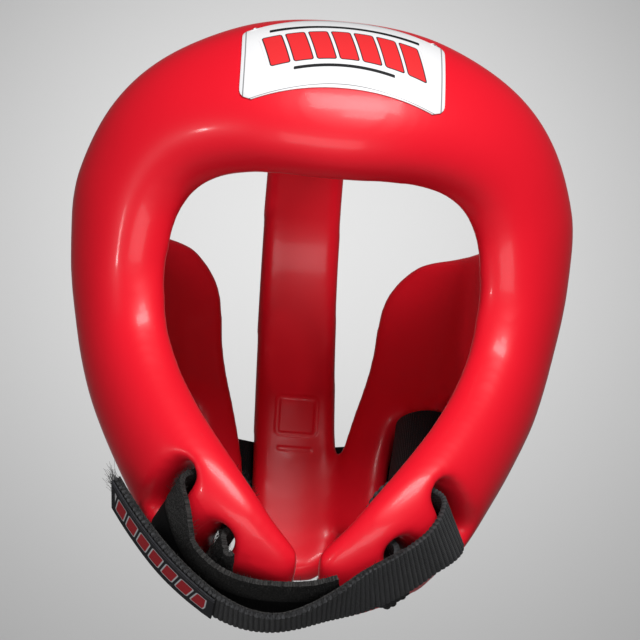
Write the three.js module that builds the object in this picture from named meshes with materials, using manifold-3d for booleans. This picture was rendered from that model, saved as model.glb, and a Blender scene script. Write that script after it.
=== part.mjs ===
// Open-face head guard for contact sport: a moulded foam shell, its label and its straps.
// Millimetres. X is the wearer's left, Y the back of the head, Z up.
// Everything is laid out about the middle of the head at eye level. The last lines lower it,
// so that the origin is where the crown of the head meets the crown band.
import * as THREE from 'three';
import { mergeVertices } from 'three/addons/utils/BufferGeometryUtils.js';
import Module from 'manifold-3d';

// The head that the shell is moulded to, which is the shape of the shell's inside
const HEAD_WIDTH = 153;
const HEAD_DEPTH = 196;
const CROWN_HEIGHT = 118;
const CHIN_DROP = 127;
const JAW_TAPER = 0.195;
const PLAN_POWER = 2.1;
const PROFILE_POWER = 2.8;

// The face opening and the back of the shell, measured from eye level
const FACE_WIDTH = 125;
const BROW_HEIGHT = 43;
const NOTCH_DROP = 105;
const BAND_WIDTH = 35;
const BAND_LEAN_TOP = -6.4;
const BAND_LEAN_NAPE = 3.6;
const BAND_FLARE_LENGTH = 24;
const NAPE_DROP = 65;
const NAPE_CORNER = 12;
const MARK_SIZE = 18;
const MARK_LEVEL = -2;
const MARK_BAR_DROP = 16;
const MARK_LINE = 1.4;
const MARK_HEIGHT = 0.6;

// The shell's foam
const ROLL_THICKNESS = 31;
const FLAP_THICKNESS = 13;
const EDGE_WALL = 9;
const EDGE_BACK = 5;
const REAR_ROUNDING = 7;
const TIP_ROUNDING = 4;
const HOLE_ROUNDING = 3;
const FLAP_CORNER = 0.14;

// Straps and label
const CHIN_STRAP_WIDTH = 25;
const REAR_STRAP_WIDTH = 38;
const STRAP_THICKNESS = 2.2;
const LABEL_LENGTH = 83;
const LABEL_HEIGHT = 43;
const LABEL_CORNER = 5;
const LABEL_THICKNESS = 0.8;
const TAB_LENGTH = 62;
const TAB_THICKNESS = 0.8;
const CHIN_SAG = 9;
const CLEARANCE = 0.4;

// Half of the loop of foam round the face, from the middle of the brow to the tip of the chin.
// edgeX and edgeZ place the finished edge of the face opening: shares of half its width, and of
// BROW_HEIGHT above eye level or NOTCH_DROP below it. rollTurn and rollLift are the direction of
// the back of the roll, endTurn and endLift that of the rear edge of the flap and then the jaw,
// in degrees from straight ahead and from level. pad is a share of ROLL_THICKNESS.
const STATIONS = [
  { edgeX: 0.0, edgeZ: 0.92, rollTurn: 0, rollLift: 66, endTurn: 0, endLift: 66, pad: 1.04 },
  { edgeX: 0.31, edgeZ: 0.96, rollTurn: 26, rollLift: 64, endTurn: 26, endLift: 64, pad: 1.06 },
  { edgeX: 0.61, edgeZ: 1.01, rollTurn: 48, rollLift: 58, endTurn: 48, endLift: 58, pad: 1.07 },
  { edgeX: 0.835, edgeZ: 0.94, rollTurn: 68, rollLift: 51, endTurn: 104, endLift: 50, pad: 1.06 },
  { edgeX: 0.95, edgeZ: 0.7, rollTurn: 84, rollLift: 38, endTurn: 155, endLift: 38, pad: 1.02 },
  { edgeX: 1.0, edgeZ: 0.3, rollTurn: 90, rollLift: 17, endTurn: 160.5, endLift: 15, pad: 0.98 },
  { edgeX: 0.985, edgeZ: -0.045, rollTurn: 91, rollLift: -3, endTurn: 166, endLift: -4, pad: 0.95 },
  { edgeX: 0.92, edgeZ: -0.2, rollTurn: 89, rollLift: -19, endTurn: 169.3, endLift: -22, pad: 0.94 },
  { edgeX: 0.82, edgeZ: -0.36, rollTurn: 84, rollLift: -32, endTurn: 166.5, endLift: -37, pad: 0.93 },
  { edgeX: 0.665, edgeZ: -0.52, rollTurn: 76, rollLift: -44, endTurn: 122, endLift: -43, pad: 0.9 },
  { edgeX: 0.5, edgeZ: -0.665, rollTurn: 68, rollLift: -53, endTurn: 92, endLift: -53, pad: 0.85 },
  { edgeX: 0.33, edgeZ: -0.805, rollTurn: 56, rollLift: -60, endTurn: 72, endLift: -62, pad: 0.72 },
  { edgeX: 0.17, edgeZ: -0.93, rollTurn: 37, rollLift: -62, endTurn: 49, endLift: -66, pad: 0.52 },
  { edgeX: 0.04, edgeZ: -1.0, rollTurn: 4, rollLift: -63, endTurn: 8, endLift: -68, pad: 0.42 },
];
const CHIN = STATIONS.length - 1;
const FLAP_START = 4;
const FLAP_CORNER_REACH = 0.6;
const BAND_EDGE = 1.45;

// The holes, by station and by roll, which is 0 at the face edge, 1 at the back of the roll and
// 2 at the rear edge of the flap. round is 1 for an oval and 0 for a square end.
const EAR = { from: 4.9, to: 6.5, front: 1.1, back: 1.38, round: 1 };
const REAR_SLOT = { from: 5.8, to: 7.65, front: 1.49, back: 1.6, round: 0.3 };
const SECOND_REAR_SLOT = { from: 5.8, to: 7.65, front: 1.71, back: 1.82, round: 0.3 };
const UPPER_SLOT = { from: 9.66, to: 10.18, front: 0.13, back: 0.58, round: 0.3 };
const LOWER_SLOT = { from: 10.9, to: 11.5, front: 0.22, back: 0.8, round: 0.3 };
const HOLES = [EAR, REAR_SLOT, SECOND_REAR_SLOT, UPPER_SLOT, LOWER_SLOT];

// The half loop and its mirror image as one table, from chin tip to chin tip
const mirrored = ({ edgeX, rollTurn, endTurn, ...row }) => {
  return { ...row, edgeX: -edgeX, rollTurn: -rollTurn, endTurn: -endTurn };
};
const LOOP = [...STATIONS.slice(1).reverse().map(mirrored), ...STATIONS];

// A column of the loop at station t, from -CHIN to CHIN, on a smooth curve through the rows.
function along(column, t) {
  const at = (k) => LOOP[THREE.MathUtils.clamp(k, 0, LOOP.length - 1)][column];
  const k = THREE.MathUtils.clamp(Math.floor(t + CHIN), 0, LOOP.length - 2);
  const f = t + CHIN - k;
  const [a, b, c, d] = [at(k - 1), at(k), at(k + 1), at(k + 2)];
  return b + 0.5 * f * (c - a + f * (2 * a - 5 * b + 4 * c - d + f * (3 * (b - c) + d - a)));
}

// The head form as a number that is under 1 inside and over 1 outside. It is a rounded box in
// plan, narrows towards the jaw, and closes over the crown and under the chin.
function headValue(p) {
  const width = HEAD_WIDTH / 2 + JAW_TAPER * p.z;
  const plan = Math.abs(p.x / width) ** PLAN_POWER + Math.abs(p.y / (HEAD_DEPTH / 2)) ** PLAN_POWER;
  const rise = Math.abs(p.z / (p.z > 0 ? CROWN_HEIGHT : CHIN_DROP));
  return plan ** (PROFILE_POWER / PLAN_POWER) + rise ** PROFILE_POWER;
}

// The point where a line from inside the head form leaves it.
function throughHead(from, direction) {
  let [near, far] = [0, 2 * HEAD_DEPTH];
  const step = direction.clone().normalize();
  while (far - near > 1e-4) {
    const middle = (near + far) / 2;
    if (headValue(from.clone().addScaledVector(step, middle)) < 1) near = middle;
    else far = middle;
  }
  return from.clone().addScaledVector(step, near);
}

function headNormal(p) {
  const reach = 0.05;
  const slope = (axis) => {
    const [a, b] = [p.clone(), p.clone()];
    a[axis] += reach;
    b[axis] -= reach;
    return headValue(a) - headValue(b);
  };
  return new THREE.Vector3(slope('x'), slope('y'), slope('z')).normalize();
}

const CENTRE = new THREE.Vector3();

// The point of the head form in a direction given by its turn from straight ahead and its lift.
function headPoint(turn, lift) {
  const [u, v] = [turn, lift].map(THREE.MathUtils.degToRad);
  const direction = new THREE.Vector3(Math.sin(u) * Math.cos(v), -Math.cos(u) * Math.cos(v), Math.sin(v));
  return throughHead(CENTRE, direction);
}

// The chin slots slant: each runs down towards the chin's tip as it goes back, so the stations
// lean there, most of all where the slots end.
const SLOT_SLANT = 0.9;
const SLANT_START = 8.2;
const SLANT_END = 1.4;
function slanted(t, roll) {
  const away = Math.abs(t);
  const share = away < UPPER_SLOT.from
    ? THREE.MathUtils.smoothstep(away, SLANT_START, UPPER_SLOT.from)
    : 1 - THREE.MathUtils.smoothstep(away, LOWER_SLOT.to, CHIN);
  const rise = THREE.MathUtils.clamp(roll, UPPER_SLOT.front, LOWER_SLOT.back) - UPPER_SLOT.front;
  const fade = 1 - THREE.MathUtils.smoothstep(roll, LOWER_SLOT.back, SLANT_END);
  return t + Math.sign(t) * SLOT_SLANT * share * rise * fade;
}

// Points of the shell's inner face. roll runs from 0 at the face edge to 1 at the back of the
// roll, and goes on to 2 at the rear edge of the flap.
function innerPoint(station, roll) {
  const t = slanted(station, roll);
  if (roll > 1) {
    const corner = Math.max(0, 1 - (Math.abs(t) - FLAP_START) / FLAP_CORNER_REACH);
    const way = (roll - 1) * (1 - FLAP_CORNER * corner ** 2);
    const turn = THREE.MathUtils.lerp(along('rollTurn', t), along('endTurn', t), way);
    return headPoint(turn, THREE.MathUtils.lerp(along('rollLift', t), along('endLift', t), way));
  }
  const z = along('edgeZ', t);
  const x = (along('edgeX', t) * FACE_WIDTH) / 2;
  const edgeFrom = new THREE.Vector3(x, 0, z * (z > 0 ? BROW_HEIGHT : NOTCH_DROP));
  const edge = throughHead(edgeFrom, new THREE.Vector3(0, -1, 0));
  return throughHead(CENTRE, edge.lerp(headPoint(along('rollTurn', t), along('rollLift', t)), roll));
}

// The foam's thickness: it rises round from the wall of the face edge to full in the roll, and
// falls to the flap behind.
const RISE_END = 0.46;
const FALL_START = 0.5;
const FALL_END = 1.1;
const roundRise = (share) => Math.sqrt(1 - (1 - THREE.MathUtils.clamp(share, 0, 1)) ** 2);
function foam(t, roll) {
  const full = ROLL_THICKNESS * along('pad', t);
  const wall = Math.min(EDGE_WALL, full);
  const rise = wall + (full - wall) * roundRise(roll / RISE_END);
  return THREE.MathUtils.lerp(rise, FLAP_THICKNESS, THREE.MathUtils.smoothstep(roll, FALL_START, FALL_END));
}

// How far the inner face rounds away from the head towards the face edge
const EDGE_BACK_END = 0.1;
const edgeLift = (roll) => EDGE_BACK * (1 - roundRise(roll / EDGE_BACK_END));

// A point of the shell's outer face
function outerPoint(t, roll) {
  const base = innerPoint(t, roll);
  return base.addScaledVector(headNormal(base), foam(t, roll));
}

// A place over the shell: the point, the way out there, and the way along the face towards
// the back of the roll. lift is the height over the outer face.
function skin(t, roll, lift) {
  const reach = 0.01;
  const across = outerPoint(t, roll + reach).sub(outerPoint(t, roll - reach)).normalize();
  const down = outerPoint(t + reach, roll).sub(outerPoint(t - reach, roll));
  const normal = down.clone().cross(across).normalize();
  return { point: outerPoint(t, roll).addScaledVector(normal, lift), normal, across, down: down.normalize() };
}

// A place in a hole of the shell, which runs straight out from the head. depth is measured
// from the outer face.
function inHole(t, roll, depth) {
  const { across, down } = skin(t, roll, 0);
  const base = innerPoint(t, roll);
  return { point: base.addScaledVector(headNormal(base), foam(t, roll) - depth), across, down };
}

// The crown band: share -1 to 1 across it, and way 0 at the roll to 1 at the nape. It leans a
// little, as it hangs in the photo.
const swing = (p) => Math.atan2(p.z, -p.y);
const NAPE_SWING = Math.PI + Math.asin(NAPE_DROP / (HEAD_DEPTH / 2));
function bandPoint(share, way) {
  const root = innerPoint(share * BAND_EDGE, 1);
  const angle = THREE.MathUtils.lerp(swing(root), NAPE_SWING, way);
  const length = ((NAPE_SWING - swing(root)) * (CROWN_HEIGHT + HEAD_DEPTH / 2)) / 2;
  const flare = Math.max(0, 1 - (way * length) / BAND_FLARE_LENGTH);
  const corner = Math.max(0, 1 - ((1 - way) * length) / NAPE_CORNER);
  const half = BAND_WIDTH / 2 - NAPE_CORNER * (1 - Math.sqrt(1 - corner ** 2));
  const lean = THREE.MathUtils.lerp(BAND_LEAN_TOP, BAND_LEAN_NAPE, way);
  const x = THREE.MathUtils.lerp(share * half + lean, root.x, 1 - Math.sqrt(1 - flare ** 2));
  return throughHead(new THREE.Vector3(x, 0, 0), new THREE.Vector3(0, -Math.cos(angle), Math.sin(angle)));
}

// A sheet of foam: nodes on the head with a thickness, joined by cells of four, each going
// round anticlockwise as seen from outside. Edges with a cell on one side only are finished
// round.
const NOT_ROUNDED = 0;
const ROOM_SHARE = 0.6;
class PaddedSheet {
  constructor(rimSteps) {
    this.rimSteps = rimSteps;
    this.nodes = new Map();
    this.cells = [];
  }

  node(name, base, thickness, rounding, normal = headNormal(base)) {
    if (!this.nodes.has(name)) this.nodes.set(name, { base, normal, thickness, rounding });
    return name;
  }

  // The free edges, each as the two names that it runs between.
  edges() {
    const found = new Map();
    for (const cell of this.cells) {
      cell.forEach((a, k) => {
        const b = cell[(k + 1) % cell.length];
        if (!found.delete(`${b} ${a}`)) found.set(`${a} ${b}`, [a, b]);
      });
    }
    return [...found.values()];
  }

  // At each node on a free edge, the way out of the sheet along its face, as long as the room
  // that the round finish has before the next node in.
  ways(edges) {
    const ways = new Map();
    for (const [a, b] of edges) {
      const run = this.nodes.get(b).base.clone().sub(this.nodes.get(a).base).normalize();
      const away = run.cross(this.nodes.get(a).normal);
      for (const name of [a, b]) ways.set(name, (ways.get(name) ?? new THREE.Vector3()).add(away));
    }
    const rooms = new Map();
    for (const cell of this.cells) {
      for (const [k, name] of cell.entries()) {
        const way = ways.get(name)?.normalize();
        for (const next of way ? [cell[(k + 1) % 4], cell[(k + 3) % 4]] : []) {
          const step = this.nodes.get(name).base.clone().sub(this.nodes.get(next).base);
          const room = step.dot(way) * ROOM_SHARE;
          if (room > 0.25 * step.length()) rooms.set(name, Math.min(room, rooms.get(name) ?? Infinity));
        }
      }
    }
    return { ways, rooms };
  }

  geometry() {
    const positions = [];
    const index = [];
    const quad = (a, b, c, d) => index.push(a, b, c, a, c, d);
    const edges = this.edges();
    const { ways, rooms } = this.ways(edges);
    const rims = new Map();
    for (const [name, { base, normal, thickness, rounding }] of this.nodes) {
      const half = thickness / 2;
      const way = ways.get(name);
      const steps = way ? this.rimSteps : 1;
      const rim = [];
      for (let k = 0; k <= steps; k++) {
        const angle = (Math.PI * k) / steps;
        const depth = Math.min(half, rounding, rooms.get(name) ?? 0);
        const p = base.clone().addScaledVector(normal, half + half * Math.cos(angle));
        if (way) p.addScaledVector(way, depth * (Math.sin(angle) - 1));
        rim.push(positions.push(p.x, p.y, p.z) / 3 - 1);
      }
      rims.set(name, rim);
    }
    for (const cell of this.cells) {
      quad(...cell.map((name) => rims.get(name)[0]));
      quad(...cell.map((name) => rims.get(name).at(-1)).reverse());
    }
    for (const [a, b] of edges) {
      const [ra, rb] = [rims.get(a), rims.get(b)];
      for (let k = 0; k < this.rimSteps; k++) quad(rb[k], ra[k], ra[k + 1], rb[k + 1]);
    }
    return new THREE.BufferGeometry()
      .setAttribute('position', new THREE.Float32BufferAttribute(positions, 3))
      .setIndex(index);
  }
}


// Moves a place near a hole so that the hole's corners come out round.
function roundedOff(t, roll) {
  for (const hole of HOLES) {
    const [midT, midRoll] = [(hole.from + hole.to) / 2, (hole.front + hole.back) / 2];
    const a = (2 * (Math.abs(t) - midT)) / (hole.to - hole.from);
    const b = (2 * (roll - midRoll)) / (hole.back - hole.front);
    const far = Math.max(Math.abs(a), Math.abs(b));
    if (far > 1.001) continue;
    const roundA = a * Math.sqrt(1 - (hole.round * b * b) / 2);
    const roundB = b * Math.sqrt(1 - (hole.round * a * a) / 2);
    const station = midT + (roundA * (hole.to - hole.from)) / 2;
    return [Math.sign(t) * station, midRoll + (roundB * (hole.back - hole.front)) / 2];
  }
  return [t, roll];
}

// Breakpoints, each followed by a number of equal steps to the next
function steps(list) {
  return list.flatMap(([from, count], k) => {
    if (k === list.length - 1) return [from];
    return Array.from({ length: count }, (_, n) => from + ((list[k + 1][0] - from) * n) / count);
  });
}

// The stations and rolls that the shell's nodes stand on, with the holes' edges among them
const HALF_COLUMNS = steps([
  [0, 4], [BAND_EDGE, 4], [FLAP_START, 1], [FLAP_START + 0.12, 1], [FLAP_START + 0.35, 1], [EAR.from, 3],
  [REAR_SLOT.from, 2], [EAR.to, 2], [REAR_SLOT.to, 2], [UPPER_SLOT.from, 2], [UPPER_SLOT.to, 1],
  [LOWER_SLOT.from, 2], [LOWER_SLOT.to, 3], [CHIN, 1],
]);
const COLUMNS = [...HALF_COLUMNS.slice(1).reverse().map((t) => -t), ...HALF_COLUMNS];
const ROWS = steps([
  [0, 1], [0.02, 1], [0.06, 1],
  [UPPER_SLOT.front, 1], [LOWER_SLOT.front, 3], [UPPER_SLOT.back, 1], [LOWER_SLOT.back, 1], [1, 1],
  [EAR.front, 3], [EAR.back, 1],
  [REAR_SLOT.front, 1], [REAR_SLOT.back, 1], [SECOND_REAR_SLOT.front, 1], [SECOND_REAR_SLOT.back, 1], [2, 1],
]);
const BAND_ROWS = steps([[0, 4], [0.09, 15], [0.96, 3], [1, 1]]);

function makeShell() {
  const sheet = new PaddedSheet(5);
  const within = (t, roll, slack) => HOLES.some((hole) => {
    const inStations = Math.abs(t) > hole.from - slack && Math.abs(t) < hole.to + slack;
    return inStations && roll > hole.front - slack && roll < hole.back + slack;
  });
  const node = (t, roll) => {
    const place = roundedOff(t, roll);
    const lift = edgeLift(place[1]);
    const base = innerPoint(...place);
    const normal = headNormal(base);
    const edgeRounding = roll === 0 ? NOT_ROUNDED : REAR_ROUNDING;
    const outerRounding = Math.abs(t) === CHIN ? TIP_ROUNDING : edgeRounding;
    const rounding = within(t, roll, 1e-6) ? HOLE_ROUNDING : outerRounding;
    base.addScaledVector(normal, lift);
    return sheet.node(`${t}_${roll}`, base, foam(...place) - lift, rounding, normal);
  };
  for (let i = 1; i < COLUMNS.length; i++) {
    const [t0, t1] = [COLUMNS[i - 1], COLUMNS[i]];
    for (let j = 1; j < ROWS.length; j++) {
      const [r0, r1] = [ROWS[j - 1], ROWS[j]];
      if (r1 > 1 && Math.max(Math.abs(t0), Math.abs(t1)) <= FLAP_START) continue;
      if (within((t0 + t1) / 2, (r0 + r1) / 2, 0)) continue;
      sheet.cells.push([node(t0, r0), node(t1, r0), node(t1, r1), node(t0, r1)]);
    }
  }
  const shares = COLUMNS.filter((t) => Math.abs(t) <= BAND_EDGE);
  const bandNode = (t, way) => (way === 0 ? node(t, 1)
    : sheet.node(`${t}_band_${way}`, bandPoint(t / BAND_EDGE, way), foam(0, 1 + way), REAR_ROUNDING));
  for (let i = 1; i < shares.length; i++) {
    const [t0, t1] = [shares[i - 1], shares[i]];
    for (let j = 1; j < BAND_ROWS.length; j++) {
      const [w0, w1] = [BAND_ROWS[j - 1], BAND_ROWS[j]];
      sheet.cells.push([bandNode(t0, w0), bandNode(t1, w0), bandNode(t1, w1), bandNode(t0, w1)]);
    }
  }
  return withMarks(sheet.geometry());
}

// The raised marks that the mould leaves on the inside of the crown band: a frame and a bar
const wasm = await Module();
wasm.setup();
const MARK_ROOT = 4;

function solid(geometry) {
  for (const name of ['normal', 'uv']) geometry.deleteAttribute(name);
  const { attributes, index } = mergeVertices(geometry);
  const [vertProperties, triVerts] = [attributes.position.array, Uint32Array.from(index.array)];
  return new wasm.Manifold(new wasm.Mesh({ numProp: 3, vertProperties, triVerts }));
}

function roundedOutline(outline, width, height, radius) {
  outline.absarc(width / 2 - radius, radius - height / 2, radius, -Math.PI / 2, 0);
  outline.absarc(width / 2 - radius, height / 2 - radius, radius, 0, Math.PI / 2);
  outline.absarc(radius - width / 2, height / 2 - radius, radius, Math.PI / 2, Math.PI);
  outline.absarc(radius - width / 2, radius - height / 2, radius, Math.PI, 1.5 * Math.PI);
  return outline;
}

function mark(outline, level) {
  const geometry = new THREE.ExtrudeGeometry(outline, {
    depth: MARK_ROOT + MARK_HEIGHT, bevelEnabled: false, curveSegments: 3,
  });
  const face = throughHead(new THREE.Vector3(0, 0, level), new THREE.Vector3(0, 1, 0)).y;
  return solid(geometry.rotateX(Math.PI / 2).translate(0, face + MARK_ROOT, level));
}

function withMarks(shell) {
  const frame = roundedOutline(new THREE.Shape(), MARK_SIZE, MARK_SIZE, MARK_SIZE / 6);
  const inside = MARK_SIZE - 2 * MARK_LINE;
  frame.holes.push(roundedOutline(new THREE.Path(), inside, inside, MARK_SIZE / 6 - MARK_LINE / 2));
  const bar = roundedOutline(new THREE.Shape(), inside, MARK_LINE, MARK_LINE / 3);
  const marked = solid(shell).add(mark(frame, MARK_LEVEL)).add(mark(bar, MARK_LEVEL - MARK_BAR_DROP));
  const { vertProperties, triVerts } = marked.getMesh();
  return new THREE.BufferGeometry()
    .setAttribute('position', new THREE.BufferAttribute(vertProperties, 3))
    .setIndex(new THREE.BufferAttribute(triVerts, 1));
}

// A flat strap along a smooth path of places, each with a point and the way across the strap.
// It lies as the places do: face up where the path runs at right angles to the way across.
// It can stop short after some of its steps, and it can lie over another strap on the same path.
function ribbon(places, width, thickness, count, lift = 0, end = count) {
  const path = new THREE.CatmullRomCurve3(places.map((p) => p.point));
  const waysAcross = new THREE.CatmullRomCurve3(places.map((p) => p.across), false, 'catmullrom');
  const positions = [];
  const index = [];
  for (let k = 0; k <= end; k++) {
    const point = path.getPoint(k / count);
    const run = path.getTangent(k / count);
    const across = waysAcross.getPoint(k / count);
    across.addScaledVector(run, -across.dot(run)).setLength(width / 2);
    const up = across.clone().cross(run).normalize();
    point.addScaledVector(up, lift);
    up.multiplyScalar(thickness / 2);
    for (const [a, b] of [[1, 1], [-1, 1], [-1, -1], [1, -1]]) {
      const corner = point.clone().addScaledVector(across, a).addScaledVector(up, b);
      positions.push(corner.x, corner.y, corner.z);
    }
  }
  const quad = (a, b, c, d) => index.push(a, b, c, a, c, d);
  for (let k = 0; k < end; k++) {
    for (let n = 0; n < 4; n++) {
      const [a, b] = [4 * k + n, 4 * k + ((n + 1) % 4)];
      quad(a, a + 4, b + 4, b);
    }
  }
  quad(0, 1, 2, 3);
  quad(4 * end + 3, 4 * end + 2, 4 * end + 1, 4 * end);
  return new THREE.BufferGeometry()
    .setAttribute('position', new THREE.Float32BufferAttribute(positions, 3))
    .setIndex(index);
}

// Height over the shell of the middle of the strap that lies n layers up.
const LAYER_GAP = 1.2;
const layer = (n) => CLEARANCE + STRAP_THICKNESS / 2 + n * (STRAP_THICKNESS + LAYER_GAP);

// A place of the chin straps at a station and a roll, over a number of layers of strap. hang is
// a share of CHIN_SAG, and level turns the strap from lying on the shell to lying level.
const HOLLOW_CLEARANCE = 3.4;
const EXIT_CLEARANCE = 1.9;
const LIP_SHIFT = 0.08;
const TO_BACK = new THREE.Vector3(0, 1, 0);
function strapPlace({ station, roll, layers, hang, level }) {
  const place = skin(station, roll, layer(layers));
  place.point.z -= hang * CHIN_SAG;
  place.across.lerp(TO_BACK, level).normalize();
  return place;
}

// The way of a chin strap in through the upper slot of one cheek, down the inside of the shell
// and out through the lower slot, to its sewn end. side is 1 or -1.
const TURN_OUTSIDE = 0.22;
const TURN_INSIDE = 0.1;
const SEWN_END = { station: 11.85, roll: 0.5, layers: 0.2, hang: 0, level: 0 };
function chinAnchor(side) {
  const inSlot = ({ front, back }, t, share, beyond) => {
    const ends = [front, back].map((roll) => inHole(side * t, roll, share * foam(t, roll) + beyond).point);
    return { point: ends[0].clone().lerp(ends[1], 0.5), across: ends[1].sub(ends[0]).normalize() };
  };
  const within = (slot, t, share) => inSlot(slot, t, share, 0);
  const inside = (slot, t) => inSlot(slot, t, 1, layer(0) + HOLLOW_CLEARANCE);
  const outside = ({ front, back }, t) => skin(side * t, (front + back) / 2, layer(0) + EXIT_CLEARANCE);
  const upper = (UPPER_SLOT.from + UPPER_SLOT.to) / 2 + LIP_SHIFT;
  const lower = (LOWER_SLOT.from + LOWER_SLOT.to) / 2;
  return [
    outside(UPPER_SLOT, UPPER_SLOT.to + TURN_OUTSIDE),
    within(UPPER_SLOT, upper, 0),
    within(UPPER_SLOT, upper, 0.5),
    within(UPPER_SLOT, upper, 1),
    inside(UPPER_SLOT, UPPER_SLOT.to + TURN_INSIDE),
    inside(LOWER_SLOT, LOWER_SLOT.from - TURN_INSIDE),
    within(LOWER_SLOT, lower, 1),
    within(LOWER_SLOT, lower, 0.5),
    within(LOWER_SLOT, lower, 0),
    outside(LOWER_SLOT, LOWER_SLOT.to + TURN_OUTSIDE),
    strapPlace({ ...SEWN_END, station: side * SEWN_END.station }),
  ];
}

// The long strap: from its free end on the wearer's right cheek, which curls up, under the chin
// to the left cheek's slots
const LONG_RUN = [
  { station: -9.6, roll: 0.45, layers: 3.2, hang: -0.3, level: 0.8 },
  { station: -10.1, roll: 0.45, layers: 3, hang: 0, level: 0.8 },
  { station: -10.9, roll: 0.45, layers: 2.8, hang: 0.5, level: 0.8 },
  { station: -11.9, roll: 0.45, layers: 2.2, hang: 1.4, level: 0.9 },
  { station: -12.7, roll: 0.45, layers: 2, hang: 1.4, level: 1 },
  { station: 12.7, roll: 0.4, layers: 2, hang: 0.6, level: 0.8 },
  { station: 12.1, roll: 0.4, layers: 1.6, hang: 0.1, level: 0.4 },
  { station: 11.3, roll: 0.38, layers: 1, hang: -0.1, level: 0.3 },
  { station: 10.6, roll: 0.36, layers: 0.4, hang: 0, level: 0.3 },
];
const LONG_ROUTE = [...LONG_RUN.map(strapPlace), ...chinAnchor(1)];
const LONG_STEPS = 96;
function makeLongStrap() {
  return ribbon(LONG_ROUTE, CHIN_STRAP_WIDTH, STRAP_THICKNESS, LONG_STEPS);
}

// The short strap: from its end under the chin to the right cheek's slots, under the long strap
const SHORT_RUN = [
  { station: 12.55, roll: 0.4, layers: 1.1, hang: 0.2, level: 0.5 },
  { station: 12.9, roll: 0.4, layers: 1, hang: 0.35, level: 0.6 },
  { station: -12.7, roll: 0.4, layers: 0.8, hang: 0.65, level: 0.6 },
  { station: -12, roll: 0.4, layers: 0.8, hang: 0.9, level: 0.6 },
  { station: -11.3, roll: 0.4, layers: 0.8, hang: 0.8, level: 0.6 },
  { station: -10.7, roll: 0.4, layers: 0.4, hang: 0.4, level: 0.5 },
];
const SHORT_STEPS = 88;
function makeShortStrap() {
  const route = [...SHORT_RUN.map(strapPlace), ...chinAnchor(-1)];
  return ribbon(route, CHIN_STRAP_WIDTH, STRAP_THICKNESS, SHORT_STEPS);
}

// The printed patch sewn on the free end of the long strap
function makeTab() {
  const path = new THREE.CatmullRomCurve3(LONG_ROUTE.map((p) => p.point));
  let end = 1;
  let length = 0;
  while (length < TAB_LENGTH) {
    length += path.getPoint(end / LONG_STEPS).distanceTo(path.getPoint((end - 1) / LONG_STEPS));
    end += 1;
  }
  const lift = (STRAP_THICKNESS + TAB_THICKNESS) / 2 + CLEARANCE;
  return ribbon(LONG_ROUTE, CHIN_STRAP_WIDTH, TAB_THICKNESS, LONG_STEPS, lift, end - 1);
}

// The strap that closes the back: through both slots of each flap and behind the crown band
const REAR_SLOTS = [REAR_SLOT, SECOND_REAR_SLOT];
const BAND_CLEARANCE = 1;
const REAR_END = 0.2;
const REAR_TURN = 0.07;
const REAR_STEPS = 110;
function makeRearStrap() {
  const level = (REAR_SLOT.from + REAR_SLOT.to) / 2;
  const [front, back] = REAR_SLOTS.map((slot) => (slot.front + slot.back) / 2);
  const half = (side) => {
    const place = (roll, depth) => {
      const { point, down } = inHole(side * level, roll, depth);
      return { point, across: down.multiplyScalar(side) };
    };
    const inside = FLAP_THICKNESS + layer(0) + HOLLOW_CLEARANCE;
    return [
      place(front - REAR_END, -layer(0)),
      place(front - REAR_TURN, -layer(0)),
      place(front, 1),
      place(front, FLAP_THICKNESS - 1),
      place(front + REAR_TURN, inside),
      place(back - REAR_TURN, inside),
      place(back, FLAP_THICKNESS - 1),
      place(back, 1),
      place(back + REAR_TURN, -layer(0)),
      place(2, -layer(0)),
    ];
  };
  const [left, right] = [half(1), half(-1)];
  const height = (left.at(-1).point.z + right.at(-1).point.z) / 2;
  const behind = throughHead(new THREE.Vector3(0, 0, height), new THREE.Vector3(0, 1, 0));
  const normal = headNormal(behind);
  const middle = {
    point: behind.addScaledVector(normal, FLAP_THICKNESS + layer(0) + BAND_CLEARANCE),
    across: new THREE.Vector3(0, normal.z, -normal.y),
  };
  return ribbon([...left, middle, ...right.reverse()], REAR_STRAP_WIDTH, STRAP_THICKNESS, REAR_STEPS);
}

// The label: a thin sheet with round corners on the middle of the forehead roll. It starts at
// LABEL_ROLL, and its ends reach lower by LABEL_ARCH.
const LABEL_ROLL = 0.27;
const LABEL_ARCH = 0.06;
const LABEL_STEP = 0.002;

// The roll at a distance over the skin from where the label starts
function rollAfter(distance) {
  let roll = LABEL_ROLL;
  for (let gone = 0; gone < distance; roll += LABEL_STEP) {
    gone += outerPoint(0, roll).distanceTo(outerPoint(0, roll + LABEL_STEP));
  }
  return roll;
}

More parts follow.
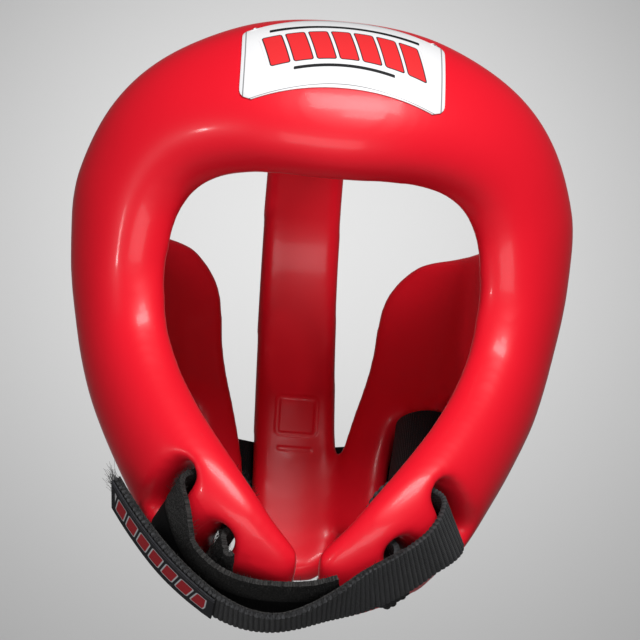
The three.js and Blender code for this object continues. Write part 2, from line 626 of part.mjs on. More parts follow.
function makeLabel() {
  const sheet = new PaddedSheet(1);
  const shares = [-1, -0.96, -0.88, -0.66, -0.44, -0.22, 0, 0.22, 0.44, 0.66, 0.88, 0.96, 1];
  const stationAt = (x, roll) => {
    let [low, high] = [-CHIN / 2, CHIN / 2];
    while (high - low > 1e-4) {
      const middle = (low + high) / 2;
      if (outerPoint(middle, roll).x < x) low = middle;
      else high = middle;
    }
    return low;
  };
  const rows = steps([[0, 2], [LABEL_CORNER, 6], [LABEL_HEIGHT - LABEL_CORNER, 2], [LABEL_HEIGHT, 1]]);
  const node = (share, row) => {
    const corner = Math.max(0, 1 - Math.min(row, LABEL_HEIGHT - row) / LABEL_CORNER);
    const half = LABEL_LENGTH / 2 - LABEL_CORNER * (1 - Math.sqrt(1 - corner ** 2));
    const roll = rollAfter(row) - LABEL_ARCH * share ** 2;
    const { point, normal } = skin(stationAt(share * half, roll), roll, CLEARANCE);
    return sheet.node(`${share}_${row}`, point, LABEL_THICKNESS, NOT_ROUNDED, normal);
  };
  for (let i = 1; i < shares.length; i++) {
    for (let j = 1; j < rows.length; j++) {
      const [a, b, r0, r1] = [shares[i - 1], shares[i], rows[j - 1], rows[j]];
      sheet.cells.push([node(a, r0), node(b, r0), node(b, r1), node(a, r1)]);
    }
  }
  return sheet.geometry();
}

function piece(name, geometry, material) {
  const mesh = new THREE.Mesh(geometry, material);
  mesh.name = name;
  return mesh;
}

const foamRed = new THREE.MeshStandardMaterial({ color: 0xd8101c, roughness: 0.35 });
const webbingBlack = new THREE.MeshStandardMaterial({ color: 0x17181b, roughness: 0.85 });
const patchBlack = new THREE.MeshStandardMaterial({ color: 0x22242a, roughness: 0.7 });
const labelWhite = new THREE.MeshStandardMaterial({ color: 0xf2f2f2, roughness: 0.3 });

const guard = new THREE.Group();
guard.position.z = -CROWN_HEIGHT;
guard.add(piece('shell', makeShell(), foamRed));
guard.add(piece('forehead_label', makeLabel(), labelWhite));
guard.add(piece('chin_strap_long', makeLongStrap(), webbingBlack));
guard.add(piece('chin_strap_short', makeShortStrap(), webbingBlack));
guard.add(piece('strap_tab', makeTab(), patchBlack));
guard.add(piece('rear_strap', makeRearStrap(), webbingBlack));

export default guard;
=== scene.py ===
import math
import random
import bmesh
import bpy
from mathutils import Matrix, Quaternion, Vector
from mathutils.bvhtree import BVHTree


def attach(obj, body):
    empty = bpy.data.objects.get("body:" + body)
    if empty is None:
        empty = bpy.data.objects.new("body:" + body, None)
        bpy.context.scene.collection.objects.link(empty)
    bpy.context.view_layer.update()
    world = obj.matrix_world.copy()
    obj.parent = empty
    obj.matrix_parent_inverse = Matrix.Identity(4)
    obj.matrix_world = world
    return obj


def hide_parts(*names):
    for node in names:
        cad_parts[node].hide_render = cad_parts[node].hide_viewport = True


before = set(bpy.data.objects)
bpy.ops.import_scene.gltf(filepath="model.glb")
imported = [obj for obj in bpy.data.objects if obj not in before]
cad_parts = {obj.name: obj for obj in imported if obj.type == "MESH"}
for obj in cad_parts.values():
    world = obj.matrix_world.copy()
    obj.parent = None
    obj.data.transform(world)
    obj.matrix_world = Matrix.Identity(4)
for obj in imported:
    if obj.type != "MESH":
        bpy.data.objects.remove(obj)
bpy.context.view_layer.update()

scene = bpy.context.scene


# The viewpoint. The guard is seen from straight ahead through a long lens, with the lens a
# little under it, as if it were tipped back, and turned slightly clockwise in the picture.
view_turn = math.radians(-3.6)
view_rise = math.radians(-18)
view_roll = math.radians(3.5)
view_distance = 1.25
view_aim = Vector((0.0036, 0, -0.104))
lens_length_mm = 161.7
film_width_mm = 36
view_back = Vector((math.sin(view_turn) * math.cos(view_rise),
                    -math.cos(view_turn) * math.cos(view_rise), math.sin(view_rise)))
lens = bpy.data.cameras.new("long_lens")
lens.lens = lens_length_mm
lens.sensor_width = film_width_mm
camera = bpy.data.objects.new("camera", lens)
camera.rotation_mode = "QUATERNION"
camera.rotation_quaternion = (view_back.to_track_quat("Z", "Y")
                              @ Quaternion((0, 0, 1), view_roll))
camera.location = view_aim + view_back * view_distance
scene.collection.objects.link(camera)
scene.camera = camera


# The shell. One moulding of soft foam with a closed, glossy red skin: the thick roll round the
# face, the flaps with their ear openings, and the band over the crown. It starts from the solid,
# whose facets are made round, and its skin is then evened out as foam skin draws tight.
foam_red = (0.86, 0.010, 0.026, 1)
foam_deep_red = (0.78, 0.007, 0.020, 1)
tone_scale = 14
least_roughness = 0.34
most_roughness = 0.42
wave_scale = 55
wave_depth = 0.0004
wave_strength = 0.25
grain_size = 0.0015
grain_depth = 0.00005
grain_strength = 0.3
skin_cell = 0.0015
skin_smoothing = 26
widest_bend = 1.0
widest_skew = 1.5


def merged_copy(node):
    shape = bmesh.new()
    shape.from_mesh(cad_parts[node].data)
    bmesh.ops.remove_doubles(shape, verts=shape.verts, dist=1e-6)
    return shape


def finished_piece(shape, name, material, slot, *nodes):
    mesh = bpy.data.meshes.new(name)
    shape.to_mesh(mesh)
    shape.free()
    mesh.shade_smooth()
    mesh.materials.append(material)
    piece = bpy.data.objects.new(name, mesh)
    scene.collection.objects.link(piece)
    if nodes:
        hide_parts(*nodes)
    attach(piece, "root")
    return piece


def new_material(name):
    material = bpy.data.materials.new(name)
    material.use_nodes = True
    nodes = material.node_tree.nodes
    return material, nodes, material.node_tree.links, nodes["Principled BSDF"]


def noise(nodes, links, place, scale, detail=2, roughness=0.5):
    texture = nodes.new("ShaderNodeTexNoise")
    texture.inputs["Scale"].default_value = scale
    texture.inputs["Detail"].default_value = detail
    texture.inputs["Roughness"].default_value = roughness
    links.new(place, texture.inputs["Vector"])
    return texture.outputs["Fac"]


def bumped(nodes, links, height, distance, strength, under=None):
    """A fine relief of the given depth in metres, laid over another one if there is one."""
    bump = nodes.new("ShaderNodeBump")
    bump.inputs["Distance"].default_value = distance
    bump.inputs["Strength"].default_value = strength
    links.new(height, bump.inputs["Height"])
    if under is not None:
        links.new(under, bump.inputs["Normal"])
    return bump.outputs["Normal"]


def blended(nodes, links, share, one, other):
    mix = nodes.new("ShaderNodeMix")
    mix.data_type = "RGBA"
    links.new(share, mix.inputs["Factor"])
    for socket, value in ((mix.inputs[6], one), (mix.inputs[7], other)):
        if isinstance(value, tuple):
            socket.default_value = value
        else:
            links.new(value, socket)
    return mix.outputs[2]


foam_skin, nodes, links, foam_shader = new_material("foam_skin")
place = nodes.new("ShaderNodeTexCoord").outputs["Object"]
tone = noise(nodes, links, place, tone_scale, detail=3)
links.new(blended(nodes, links, tone, foam_red, foam_deep_red), foam_shader.inputs["Base Color"])
gloss = nodes.new("ShaderNodeMapRange")
gloss.inputs["To Min"].default_value = least_roughness
gloss.inputs["To Max"].default_value = most_roughness
links.new(tone, gloss.inputs["Value"])
links.new(gloss.outputs["Result"], foam_shader.inputs["Roughness"])
waves = bumped(nodes, links, noise(nodes, links, place, wave_scale), wave_depth, wave_strength)
grain = noise(nodes, links, place, 1 / grain_size)
links.new(bumped(nodes, links, grain, grain_depth, grain_strength, under=waves),
          foam_shader.inputs["Normal"])
foam_shader.inputs["IOR"].default_value = 1.42
foam_shader.inputs["Specular IOR Level"].default_value = 0.4
foam_shader.inputs["Coat Weight"].default_value = 0.15
foam_shader.inputs["Coat Roughness"].default_value = 0.12

shape = merged_copy("shell")
bmesh.ops.join_triangles(shape, faces=shape.faces, angle_face_threshold=widest_bend,
                         angle_shape_threshold=widest_skew)
rough = bpy.data.meshes.new("shell_rough")
shape.to_mesh(rough)
shape.free()
rough_shell = bpy.data.objects.new("shell_rough", rough)
scene.collection.objects.link(rough_shell)
rounding = rough_shell.modifiers.new("rounding", "SUBSURF")
rounding.levels = rounding.render_levels = 2
skinning = rough_shell.modifiers.new("skinning", "REMESH")
skinning.mode = "VOXEL"
skinning.voxel_size = skin_cell
even = bpy.data.meshes.new_from_object(
    rough_shell.evaluated_get(bpy.context.evaluated_depsgraph_get()))
bpy.data.objects.remove(rough_shell)
shape = bmesh.new()
shape.from_mesh(even)
for _ in range(skin_smoothing):
    bmesh.ops.smooth_vert(shape, verts=shape.verts, factor=0.5,
                          use_axis_x=True, use_axis_y=True, use_axis_z=True)

# The raised marks that the mould leaves inside the crown band: a square frame and a bar below
# it. The skin there is cut finer first.
mark_x = 0.0016
mark_z = -0.120
mark_half = 0.009
mark_corner = 0.002
mark_line = 0.0007
mark_height = 0.00028
mark_fade = 0.0006
bar_drop = 0.016
bar_half = mark_half * 0.85
bar_corner = 0.0003
fine_half_x = mark_half * 1.3
fine_half_z = 0.021
band_from_y = 0.05
facing_front = -0.7


def box_distance(x, z, half_x, half_z, corner):
    over_x, over_z = abs(x) - half_x + corner, abs(z) - half_z + corner
    return math.hypot(max(over_x, 0), max(over_z, 0)) + min(max(over_x, over_z), 0) - corner


def mark_rise(x, z):
    frame_line = abs(box_distance(x - mark_x, z - mark_z, mark_half, mark_half, mark_corner))
    bar = box_distance(x - mark_x, z - mark_z + bar_drop, bar_half, mark_line, bar_corner)
    off_line = min(frame_line - mark_line, bar)
    return mark_height * (1 - min(1, max(0, off_line / mark_fade)))


def near_mark(face):
    middle = face.calc_center_median()
    return (face.normal.y < facing_front and middle.y > band_from_y
            and abs(middle.x - mark_x) < fine_half_x
            and abs(middle.z - mark_z + bar_drop / 2) < fine_half_z)


fine_faces = [face for face in shape.faces if near_mark(face)]
fine_edges = dict.fromkeys(edge for face in fine_faces for edge in face.edges)
bmesh.ops.subdivide_edges(shape, edges=list(fine_edges), cuts=2, use_grid_fill=True)
shape.normal_update()
raised = [(vert, vert.normal * mark_rise(vert.co.x, vert.co.z)) for vert in shape.verts
          if vert.co.y > band_from_y and vert.normal.y < facing_front]
for vert, rise in raised:
    vert.co += rise
shell_surface = BVHTree.FromBMesh(shape)
shell = finished_piece(shape, "foam_shell", foam_skin, "moulded_foam", "shell")


# The label on the brow. A flexible white sheet with round corners, stuck on the skin of the roll
# and bent with it. It is printed with a thin grey line inside its edge, a row of bold red shapes
# with dark outlines, and a thin black line above and below them. The print says nothing.
label_half = 0.0415
label_low = -0.0445
label_high = -0.0060
low_edge_arch = 0.006
high_edge_arch = 0.0085
label_corner = 0.005
label_proud = 0.0007
label_thickness = 0.0006
label_rounding = 0.0002
label_columns = 40
label_rows = 28
skin_stretch = 1.08
before_the_brow = -0.3


def on_skin(x, z):
    """The place of the skin straight behind a place in front of the brow, and its way out."""
    seat, out, _, _ = shell_surface.ray_cast(Vector((x, before_the_brow, z)), Vector((0, 1, 0)))
    return seat, out


shape = bmesh.new()
bmesh.ops.create_grid(shape, x_segments=label_columns, y_segments=label_rows, size=0.5)
columns = {}
for vert in shape.verts:
    columns.setdefault(round((vert.co.x + 0.5) * label_columns), []).append(vert)
flat_places = {}
for verts in columns.values():
    verts.sort(key=lambda v: v.co.y)
    share = 2 * verts[0].co.x
    up_to = 0.0
    laid = []
    for vert in verts:
        z = label_low + (label_high - label_low) * (vert.co.y + 0.5)
        near_end = min(z - label_low, label_high - z)
        corner = min(1, max(0, 1 - near_end / label_corner))
        half = label_half - label_corner * (1 - math.sqrt(1 - corner ** 2))
        arch = low_edge_arch + (high_edge_arch - low_edge_arch) * (vert.co.y + 0.5)
        seat, out = on_skin(share * half, z - arch * share ** 2)
        if laid:
            up_to += (seat - laid[-1][1]).length
        laid.append((vert, seat, out, up_to, share * half))
    for vert, seat, out, height, x in laid:
        vert.co = seat + out * label_proud
        flat_places[vert] = (x * skin_stretch, height - up_to / 2)
flat = shape.loops.layers.uv.new("flat")
for face in shape.faces:
    for loop in face.loops:
        loop[flat].uv = flat_places[loop.vert]
label_width = 2 * max(u for u, _ in flat_places.values())
label_height = 2 * max(v for _, v in flat_places.values())
if sum(face.normal.y for face in shape.faces) > 0:
    bmesh.ops.reverse_faces(shape, faces=shape.faces)


def maths(nodes, links, operation, a, b=None, clamp=False):
    node = nodes.new("ShaderNodeMath")
    node.operation = operation
    node.use_clamp = clamp
    for socket, value in zip(node.inputs, (a, b)):
        if isinstance(value, (int, float)):
            socket.default_value = value
        elif value is not None:
            links.new(value, socket)
    return node.outputs["Value"]


def flat_place(nodes, links):
    uv = nodes.new("ShaderNodeUVMap")
    uv.uv_map = "flat"
    apart = nodes.new("ShaderNodeSeparateXYZ")
    links.new(uv.outputs["UV"], apart.inputs["Vector"])
    return uv.outputs["UV"], apart.outputs["X"], apart.outputs["Y"]


def edged(nodes, links, distance, softness):
    """1 where distance is under 0, falling to 0 over softness."""
    return maths(nodes, links, "SUBTRACT", 1, maths(nodes, links, "DIVIDE", distance, softness),
                 clamp=True)


def boxed(nodes, links, x, y, half_x, half_y, corner):
    """How far a place lies outside a box with round corners about the origin."""
    over = [maths(nodes, links, "SUBTRACT", maths(nodes, links, "ABSOLUTE", v), half - corner)
            for v, half in ((x, half_x), (y, half_y))]
    outside = [maths(nodes, links, "MAXIMUM", v, 0) for v in over]
    square = [maths(nodes, links, "MULTIPLY", v, v) for v in outside]
    round_part = maths(nodes, links, "SQRT", maths(nodes, links, "ADD", *square))
    inner = maths(nodes, links, "MINIMUM", maths(nodes, links, "MAXIMUM", *over), 0)
    return maths(nodes, links, "SUBTRACT", maths(nodes, links, "ADD", round_part, inner), corner)


ripple_scale = 160
ripple_depth = 0.0001
ripple_strength = 0.2
label_white = (0.86, 0.86, 0.87, 1)
print_grey = (0.25, 0.25, 0.26, 1)
print_black = (0.012, 0.012, 0.014, 1)
print_red = (0.80, 0.03, 0.035, 1)
edge_line_inset = 0.0016
edge_line_half = 0.00016
edge_line_corner = 0.0036
bar_count = 7
bar_pitch = 0.0100
bar_half_width = 0.0038
bar_half_height = 0.0084
bar_slant = 0.25
printed_corner = 0.0006
bar_outline = 0.0005
upper_line = (0.0130, 0.033, 0.0010)
lower_line = (-0.0122, 0.022, 0.0007)
line_corner = 0.0003
print_softness = 0.00018

label_sheet, nodes, links, label_shader = new_material("label_sheet")
uv, across, up = flat_place(nodes, links)
edge_distance = boxed(nodes, links, across, up, label_width / 2 - edge_line_inset,
                      label_height / 2 - edge_line_inset, edge_line_corner)
edge_line = edged(nodes, links, maths(nodes, links, "SUBTRACT",
                  maths(nodes, links, "ABSOLUTE", edge_distance), edge_line_half), print_softness)
leaning = maths(nodes, links, "ADD", across, maths(nodes, links, "MULTIPLY", up, bar_slant))
bar_place = maths(nodes, links, "PINGPONG", leaning, bar_pitch / 2)
bars = boxed(nodes, links, bar_place, up, bar_half_width, bar_half_height, printed_corner)
row_end = maths(nodes, links, "SUBTRACT", maths(nodes, links, "ABSOLUTE", leaning),
                bar_count * bar_pitch / 2)
bars = maths(nodes, links, "MAXIMUM", bars, row_end)
bar_body = edged(nodes, links, bars, print_softness)
bar_edge = edged(nodes, links, maths(nodes, links, "SUBTRACT", bars, bar_outline), print_softness)
lines = []
for height, half_length, half_breadth in (upper_line, lower_line):
    from_line = maths(nodes, links, "SUBTRACT", up, height)
    lines.append(boxed(nodes, links, across, from_line, half_length, half_breadth, line_corner))
thin_lines = edged(nodes, links, maths(nodes, links, "MINIMUM", *lines), print_softness)
colour = blended(nodes, links, edge_line, label_white, print_grey)
colour = blended(nodes, links, thin_lines, colour, print_black)
colour = blended(nodes, links, bar_edge, colour, print_black)
colour = blended(nodes, links, bar_body, colour, print_red)
links.new(colour, label_shader.inputs["Base Color"])
label_shader.inputs["Roughness"].default_value = 0.32
links.new(bumped(nodes, links, noise(nodes, links, uv, ripple_scale), ripple_depth,
                 ripple_strength), label_shader.inputs["Normal"])
label = finished_piece(shape, "brow_label", label_sheet, "label_sheet", "forehead_label")
body = label.modifiers.new("body", "SOLIDIFY")
body.thickness = label_thickness
body.offset = -1
edge_round = label.modifiers.new("edge_round", "BEVEL")
edge_round.width = label_rounding
edge_round.segments = 2


# The rear strap. A wide, flat, matt black elastic webbing, which goes through the two slots of
# each flap and behind the band, and holds the back of the guard together. It is cut from a roll
# and its ends are turned in at the slots.
rear_width = 0.038
rear_thickness = 0.0020
rear_rounding = 0.0006
rear_cell = 0.002
rear_cells_across = 12
rear_rib_pitch = 0.0012
rear_rib_depth = 0.0003
webbing_black = (0.003, 0.003, 0.0035, 1)
# The grey of the rib tops: partly the weave, partly painted sheen, with painted shade in the
# grooves.
rear_rib_weave_and_sheen = (0.010, 0.010, 0.011, 1)
rear_cross_share = 1.0
webbing_lint_scale = 2600
webbing_bump_strength = 0.9
fine_weave_share = 0.35
lint_share = 0.5
head_middle = Vector((0, 0, -0.118))
corner_reach = 0.003


def strap_path(node):
    """The rings of a CAD strap, from one end to the other: centre, way across, way up."""
    copy = merged_copy(node)
    # The corners of the two end rings have fewer edges than those between them.
    ends = [v for v in copy.verts if len(v.link_edges) <= 5]
    first = min(ends, key=lambda v: v.index)
    ring = sorted(ends, key=lambda v: (v.co - first.co).length)[:4]
    side = max(((b.co - a.co) for a in ring for b in ring), key=lambda d: d.length)
    rings = []
    seen = set()
    while ring:
        seen.update(ring)
        middle = sum((v.co for v in ring), Vector()) / 4
        order = sorted(ring, key=lambda v: (v.co - middle).dot(side))
        side = order[2].co + order[3].co - order[0].co - order[1].co
        rings.append((middle, side.normalized()))
        # A dict keeps its order, which a set doesn't, so each run adds up in the same order.
        joined = dict.fromkeys(e.other_vert(v) for v in ring for e in v.link_edges)
        ring = [v for v in joined if v not in seen]
    copy.free()
    facing = 1 if rings[0][1].y > 0 else -1
    path = []
    for k, (middle, side) in enumerate(rings):
        run = rings[min(k + 1, len(rings) - 1)][0] - rings[max(k - 1, 0)][0]
        path.append((middle, side * facing, side.cross(run).normalized()))
    middle, _, up = max(path, key=lambda place: (place[0] - head_middle).length)
    outward = 1 if (middle - head_middle).dot(up) > 0 else -1
    return [(middle, side, up * outward) for middle, side, up in path]


def path_length(path):
    return sum((b[0] - a[0]).length for a, b in zip(path, path[1:]))


def on_path(path, s):
    """The place at a length s along a path: point, way to the back, way out."""
    for (p0, a0, u0), (p1, a1, u1) in zip(path, path[1:]):
        step = (p1 - p0).length
        if s <= step:
            return p0.lerp(p1, s / step), a0.lerp(a1, s / step), u0.lerp(u1, s / step)
        s -= step
    return path[-1]


def eased(path, s):
    """The place at a length s along a path, with the corners of the path rounded."""
    near = [on_path(path, max(0.0, s + corner_reach * k)) for k in (-2, -1, 0, 1, 2)]
    point, back, out = (sum((place[k] for place in near), Vector()) / 5 for k in range(3))
    if s < 2 * corner_reach or s > path_length(path) - 2 * corner_reach:
        point = near[2][0]
    return point, back.normalized(), out.normalized()


def laid_strip(path, width, pitch, cells_across, lift=0.0, relief=None, until=1.0):
    """A flat strip of cloth laid along a path, with a flat UV map in metres. Its UV y runs from
    the front edge, where it is least, to the back."""
    length = path_length(path) * until
    cells = round(length / pitch)
    shape = bmesh.new()
    bmesh.ops.create_grid(shape, x_segments=cells, y_segments=cells_across, size=0.5)
    flat = shape.loops.layers.uv.new("flat")
    for face in shape.faces:
        for loop in face.loops:
            loop[flat].uv = ((loop.vert.co.x + 0.5) * length, loop.vert.co.y * width)
    frames = {}
    for vert in shape.verts:
        k = round((vert.co.x + 0.5) * cells)
        if k not in frames:
            frames[k] = eased(path, min(k / cells, 0.99999) * length)
        point, back, out = frames[k]
        raised = relief(k / cells * length, 2 * vert.co.y) if relief else 0.0
        vert.co = point + back * (vert.co.y * width) + out * (lift + raised)
    face = min(shape.faces, key=lambda f: (f.calc_center_median() - frames[0][0]).length)
    shape.normal_update()
    if face.normal.dot(frames[0][2]) < 0:
        bmesh.ops.reverse_faces(shape, faces=shape.faces)
    return shape


def given_body(piece, thickness, rounding):
    body = piece.modifiers.new("body", "SOLIDIFY")
    body.thickness = thickness
    body.offset = 0
    edge_round = piece.modifiers.new("edge_round", "BEVEL")
    edge_round.width = rounding
    edge_round.segments = 3


def webbing_material(name, rib_top_weave_and_sheen, rib, rib_depth, cross_share):
    """Woven tape: raised ribs across its width, a fine weave in them and stray lint. The rib tops
    are coloured lighter and the grooves darker, partly the weave and partly painted sheen and
    painted shade.
    """
    material, nodes, links, shader = new_material(name)
    uv, along, across = flat_place(nodes, links)
    phase = maths(nodes, links, "MULTIPLY", along, 2 * math.pi / rib)
    ribs = maths(nodes, links, "MULTIPLY_ADD", maths(nodes, links, "SINE", phase), 0.5)
    ribs.node.inputs[2].default_value = 0.5
    cross_phase = maths(nodes, links, "MULTIPLY", across, 2 * math.pi / (rib * cross_share))
    ends = maths(nodes, links, "MULTIPLY_ADD", maths(nodes, links, "SINE", cross_phase), 0.5)
    ends.node.inputs[2].default_value = 0.5
    weave = maths(nodes, links, "ADD", ribs, maths(nodes, links, "MULTIPLY", ends,
                  fine_weave_share))
    lint = noise(nodes, links, uv, webbing_lint_scale, detail=3)
    height = maths(nodes, links, "ADD", weave, maths(nodes, links, "MULTIPLY", lint, lint_share))
    # The rib tops are painted lighter and the grooves between them darker: partly the yarn of the
    # weave, partly painted sheen on the ribs and painted shade in the grooves.
    rib_top_and_groove_shade_share = maths(nodes, links, "MULTIPLY", weave, lint, clamp=True)
    links.new(blended(nodes, links, rib_top_and_groove_shade_share, webbing_black, rib_top_weave_and_sheen),
              shader.inputs["Base Color"])
    links.new(bumped(nodes, links, height, rib_depth, webbing_bump_strength),
              shader.inputs["Normal"])
    shader.inputs["Roughness"].default_value = 0.8
    shader.inputs["Specular IOR Level"].default_value = 0.3
    shader.inputs["Sheen Weight"].default_value = 0.06
    shader.inputs["Sheen Roughness"].default_value = 0.5
    return material


rear_webbing = webbing_material("rear_webbing", rear_rib_weave_and_sheen, rear_rib_pitch, rear_rib_depth,
                                rear_cross_share)
shape = laid_strip(strap_path("rear_strap"), rear_width, rear_cell, rear_cells_across)
rear_strap = finished_piece(shape, "rear_elastic_strap", rear_webbing, "rear_webbing",
                            "rear_strap")
given_body(rear_strap, rear_thickness, rear_rounding)


# The short chin strap. A soft black loop tape, sewn at the right cheek's slots, which runs under
# the chin inside the long strap, and the long strap closes on it. Its front half is a thick pile
# of loops with stray fibres, its back half plain tape.
chin_width = 0.025
short_thickness = 0.0022
short_rounding = 0.0004
short_cell = 0.0006
short_cells_across = 32
pile_height = 0.0009
pile_end = 0.05
pile_fall = 0.12
pile_black = (0.0030, 0.0030, 0.0034, 1)
pile_fleck = (0.060, 0.058, 0.056, 1)
tuft_scale = 1100
lint_scale = 1900
pile_softness = 0.0008
pile_depth = 0.0006
pile_bump_strength = 0.9
tape_weave = 0.0009
tape_weave_share = 0.06
short_fibre_count = 4500
short_fibre_spread = 0.009
short_fibre_reach = 0.0022
fibre_radius = 0.00006
draw = random.Random(7)

loop_pile, nodes, links, pile_shader = new_material("loop_webbing")
uv, along, across = flat_place(nodes, links)
tufts = nodes.new("ShaderNodeTexVoronoi")
tufts.inputs["Scale"].default_value = tuft_scale
links.new(uv, tufts.inputs["Vector"])
lint = noise(nodes, links, uv, lint_scale, detail=4, roughness=0.7)
in_pile = edged(nodes, links, maths(nodes, links, "SUBTRACT", across,
                pile_end * chin_width / 2), pile_softness)
fleck = maths(nodes, links, "MULTIPLY", maths(nodes, links, "POWER", lint, 3.2), 4.0)
fleck = maths(nodes, links, "MULTIPLY", fleck, in_pile, clamp=True)
links.new(blended(nodes, links, fleck, pile_black, pile_fleck), pile_shader.inputs["Base Color"])
tuft_height = maths(nodes, links, "SUBTRACT", 1, tufts.outputs["Distance"])
tuft_height = maths(nodes, links, "ADD", tuft_height, lint)
tuft_height = maths(nodes, links, "MULTIPLY", tuft_height, in_pile)
weave = maths(nodes, links, "SINE", maths(nodes, links, "MULTIPLY", along,
              2 * math.pi / tape_weave))
relief = maths(nodes, links, "ADD", tuft_height, maths(nodes, links, "MULTIPLY", weave,
               tape_weave_share))
links.new(bumped(nodes, links, relief, pile_depth, pile_bump_strength),
          pile_shader.inputs["Normal"])
pile_shader.inputs["Roughness"].default_value = 0.85
pile_shader.inputs["Specular IOR Level"].default_value = 0.25


def pile_relief(s, t):
    """The pile stands up over the front half of the tape, unevenly."""
    share = min(1, max(0, (pile_end - t) / pile_fall))
    return share * pile_height * draw.uniform(0.2, 0.5)


def fibres(name, roots, reach, radius):
    """Loose fibres of the pile, each a thin curved strand from a root: point, way out, sideways."""
    curve = bpy.data.curves.new(name, "CURVE")
    curve.dimensions = "3D"
    curve.bevel_depth = radius
    curve.bevel_resolution = 0
    curve.use_fill_caps = True
    for point, out, sideways in roots:
        long = reach * (0.4 + 0.6 * draw.random())
        wild = Vector((draw.gauss(0, 1), draw.gauss(0, 1), draw.gauss(0, 1))) * 0.35
        strand = curve.splines.new("POLY")
        strand.points.add(3)
        for k, share in enumerate((0, 0.35, 0.7, 1)):
            place = point + (out * share + (sideways + wild) * share ** 2 * 0.8) * long
            strand.points[k].co = (*place, 1)
    strands = bpy.data.objects.new(name, curve)
    scene.collection.objects.link(strands)
    mesh = bpy.data.meshes.new_from_object(
        strands.evaluated_get(bpy.context.evaluated_depsgraph_get()))
    bpy.data.objects.remove(strands)
    shape = bmesh.new()
    shape.from_mesh(mesh)
    bmesh.ops.remove_doubles(shape, verts=shape.verts, dist=1e-7)
    bmesh.ops.recalc_face_normals(shape, faces=shape.faces)
    finished_piece(shape, name, loop_pile, "loop_webbing")


def front_roots(path, until, count, spread):
    """Roots scattered along the front edge of a chin strap, from its start to a length."""
    roots = []
    for _ in range(count):
        point, back, out = on_path(path, until * draw.random())
        inset = chin_width / 2 - spread * draw.random()
        way = (out * draw.uniform(-0.6, 0.9) - back).normalized()
        roots.append((point - back * inset + out * draw.uniform(-0.001, 0.001), way,
                      out * draw.uniform(-0.5, 0.8)))
    return roots


short_path = strap_path("chin_strap_short")
shape = laid_strip(short_path, chin_width, short_cell, short_cells_across, relief=pile_relief)
short_strap = finished_piece(shape, "short_chin_strap", loop_pile, "loop_webbing",
                             "chin_strap_short")
given_body(short_strap, short_thickness, short_rounding)
roots = front_roots(short_path, path_length(short_path), short_fibre_count, short_fibre_spread)
fibres("short_strap_fuzz", roots, short_fibre_reach, fibre_radius)


# The long chin strap. Ribbed black webbing, sewn at the left cheek's slots, which runs under
# the chin and up the right cheek, where its free end closes over the short strap. Its inner
# side carries a sewn strip of hook pile, whose rough edge shows in front.
long_thickness = 0.0018
long_rounding = 0.0005
long_cells_across = 8
rib_pitch = 0.0021
rib_height = 0.0003
cells_per_rib = 6
rib_depth = 0.0006
rib_cross_share = 0.5
# The grey of the rib tops: partly the weave, partly painted sheen, with painted shade in the
# grooves.
rib_weave_and_sheen = (0.062, 0.063, 0.067, 1)
hook_width = chin_width * 0.98
hook_thickness = 0.0007
hook_rounding = 0.0002
hook_cell = 0.0008
hook_cells_across = 16
hook_share = 0.55
hook_gap = 0.0001
hook_fibre_count = 1300
hook_fibre_spread = 0.001
hook_fibre_reach = 0.0018


def rib_relief(s, t):
    return rib_height * (math.sin(2 * math.pi * s / rib_pitch) + draw.uniform(-0.2, 0.2))


def hook_relief(s, t):
    return draw.uniform(-0.0001, 0.0001)


long_path = strap_path("chin_strap_long")
if long_path[0][0].x >= 0:
    long_path.reverse()
chin_webbing = webbing_material("chin_webbing", rib_weave_and_sheen, rib_pitch, rib_depth, rib_cross_share)
shape = laid_strip(long_path, chin_width, rib_pitch / cells_per_rib, long_cells_across,
                   relief=rib_relief)
long_strap = finished_piece(shape, "long_chin_strap", chin_webbing, "chin_webbing",
                            "chin_strap_long")
given_body(long_strap, long_thickness, long_rounding)
shape = laid_strip(long_path, hook_width, hook_cell, hook_cells_across, until=hook_share,
                   lift=-(long_thickness + hook_thickness) / 2 - hook_gap, relief=hook_relief)
hook_strip = finished_piece(shape, "long_strap_hooks", loop_pile, "loop_webbing")
given_body(hook_strip, hook_thickness, hook_rounding)
roots = front_roots(long_path, path_length(long_path) * hook_share, hook_fibre_count,
                    hook_fibre_spread)
fibres("long_strap_fuzz", roots, hook_fibre_reach, fibre_radius)


# The printed patch. A black woven patch sewn over the free end of the long strap, with a row
# of bold red shapes outlined in white and a pale line of stitches along its front edge. Its
# print says nothing. Cut threads of the strap stick out at its end.
tab_width = chin_width * 0.96
tab_thickness = 0.0009
tab_rounding = 0.0003
tab_cell = 0.0015
tab_cells_across = 10
tab_bar_pitch = 0.0082
tab_bar_slant = 0.2
tab_bar_half_length = 0.0028
tab_bar_half_width = 0.0062
tab_bar_outline = 0.0006
tab_margin = 0.004
tab_print_softness = 0.0002
stitch_across = 0.0106
stitch_half = 0.0002
patch_black = (0.014, 0.014, 0.018, 1)
stitch_grey = (0.10, 0.10, 0.11, 1)
outline_white = (0.72, 0.72, 0.74, 1)
patch_red = (0.52, 0.012, 0.022, 1)
patch_thread_scale = 2400
patch_thread_depth = 0.0002
patch_bump_strength = 0.8
end_thread_count = 90
end_thread_reach = 0.0055
end_thread_radius = 0.00005

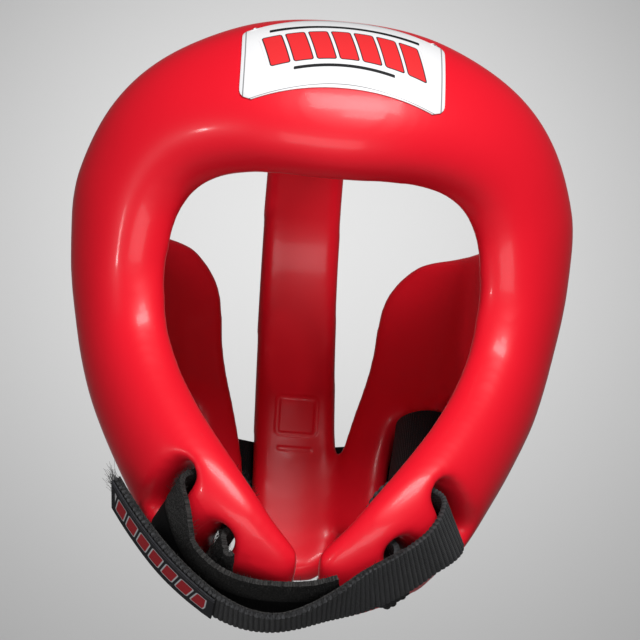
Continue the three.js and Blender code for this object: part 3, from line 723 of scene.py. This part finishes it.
tab_path = strap_path("strap_tab")
tab_half_length = path_length(tab_path) / 2
printed_patch, nodes, links, tab_shader = new_material("printed_patch")
uv, along, across = flat_place(nodes, links)
leaning = maths(nodes, links, "ADD", along, maths(nodes, links, "MULTIPLY", across,
                tab_bar_slant))
bar_place = maths(nodes, links, "PINGPONG", leaning, tab_bar_pitch / 2)
bars = boxed(nodes, links, bar_place, across, tab_bar_half_length, tab_bar_half_width,
             printed_corner)
from_middle = maths(nodes, links, "ABSOLUTE", maths(nodes, links, "SUBTRACT", along,
                    tab_half_length))
row_end = maths(nodes, links, "SUBTRACT", from_middle, tab_half_length - tab_margin)
bars = maths(nodes, links, "MAXIMUM", bars, row_end)
bar_body = edged(nodes, links, bars, tab_print_softness)
bar_edge = edged(nodes, links, maths(nodes, links, "SUBTRACT", bars, tab_bar_outline),
                 tab_print_softness)
from_stitches = maths(nodes, links, "ABSOLUTE", maths(nodes, links, "ADD", across,
                      stitch_across))
stitches = edged(nodes, links, maths(nodes, links, "SUBTRACT", from_stitches, stitch_half),
                 tab_print_softness)
colour = blended(nodes, links, stitches, patch_black, stitch_grey)
colour = blended(nodes, links, bar_edge, colour, outline_white)
colour = blended(nodes, links, bar_body, colour, patch_red)
links.new(colour, tab_shader.inputs["Base Color"])
tab_shader.inputs["Roughness"].default_value = 0.8
links.new(bumped(nodes, links, noise(nodes, links, uv, patch_thread_scale), patch_thread_depth,
                 patch_bump_strength), tab_shader.inputs["Normal"])
shape = laid_strip(tab_path, tab_width, tab_cell, tab_cells_across)
patch = finished_piece(shape, "printed_tab", printed_patch, "printed_patch", "strap_tab")
given_body(patch, tab_thickness, tab_rounding)

end_point, end_back, end_out = long_path[0]
endward = (end_point - long_path[1][0]).normalized()
roots = []
for _ in range(end_thread_count):
    place = end_point + end_back * (chin_width * draw.uniform(-0.5, 0.1))
    roots.append((place + end_out * draw.uniform(-0.001, 0.001), endward,
                  end_back * draw.uniform(-1.2, 0.2)))
fibres("tab_end_threads", roots, end_thread_reach, end_thread_radius)


# The studio. A pale paper floor runs far below the guard and rises into a pale wall behind it.
# A wide soft light stands in front and above, with weaker ones before the brow and from below.
# A very small one at the left makes the glint on the cheek, and one out of sight lights the wall.
paper_grey = (0.6, 0.6, 0.6, 1)
floor_level = -1.8
floor_front = -3.5
wall_depth = 3.0
wall_height = 4.2
sweep_radius = 0.8
sweep_steps = 16
half_width = 4.0
air_white = (1, 1, 1, 1)
air_strength = 0.055

paper, nodes, links, paper_shader = new_material("studio_paper")
paper_shader.inputs["Base Color"].default_value = paper_grey
paper_shader.inputs["Roughness"].default_value = 0.9
shape = bmesh.new()
sweep_start = wall_depth - sweep_radius
front = [shape.verts.new((-half_width, floor_front, floor_level)),
         shape.verts.new((-half_width, sweep_start, floor_level))]
shape.edges.new(front)
bmesh.ops.spin(shape, geom=[front[1]], cent=(0, sweep_start, floor_level + sweep_radius),
               axis=(1, 0, 0), angle=math.pi / 2, steps=sweep_steps)
top = max(shape.verts, key=lambda v: v.co.z + v.co.y)
wall_top = bmesh.ops.extrude_vert_indiv(shape, verts=[top])
bmesh.ops.translate(shape, verts=wall_top["verts"], vec=(0, 0, wall_height))
wide = bmesh.ops.extrude_edge_only(shape, edges=shape.edges)
bmesh.ops.translate(shape, verts=[v for v in wide["geom"] if isinstance(v, bmesh.types.BMVert)],
                    vec=(2 * half_width, 0, 0))
mesh = bpy.data.meshes.new("studio_paper")
shape.to_mesh(mesh)
shape.free()
mesh.shade_smooth()
mesh.materials.append(paper)
studio_paper = bpy.data.objects.new("studio_paper", mesh)
scene.collection.objects.link(studio_paper)


def soft_light(name, place, aim, size, power):
    light = bpy.data.lights.new(name, "AREA")
    light.shape = "RECTANGLE"
    light.size, light.size_y = size
    light.energy = power
    lamp = bpy.data.objects.new(name, light)
    lamp.location = place
    lamp.rotation_mode = "QUATERNION"
    lamp.rotation_quaternion = (Vector(place) - Vector(aim)).to_track_quat("Z", "Y")
    scene.collection.objects.link(lamp)


soft_light("front_light", (0.2, -1.3, 0.5), view_aim, (0.8, 0.35), 17)
soft_light("brow_light", (0.29, -1.4, 0.24), view_aim, (0.4, 0.16), 3)
soft_light("low_light", (-0.1, -1.2, -0.75), view_aim, (0.9, 0.4), 5)
soft_light("left_light", (-0.95, -0.78, -0.36), view_aim, (0.05, 0.05), 1.6)
soft_light("wall_light", (0.14, 1.96, 1.13), (0.24, wall_depth, 0.82), (0.5, 0.2), 13)
world = bpy.data.worlds.new("studio_air")
scene.world = world
world.use_nodes = True
world.node_tree.nodes["Background"].inputs["Color"].default_value = air_white
world.node_tree.nodes["Background"].inputs["Strength"].default_value = air_strength
scene.view_settings.view_transform = "Standard"
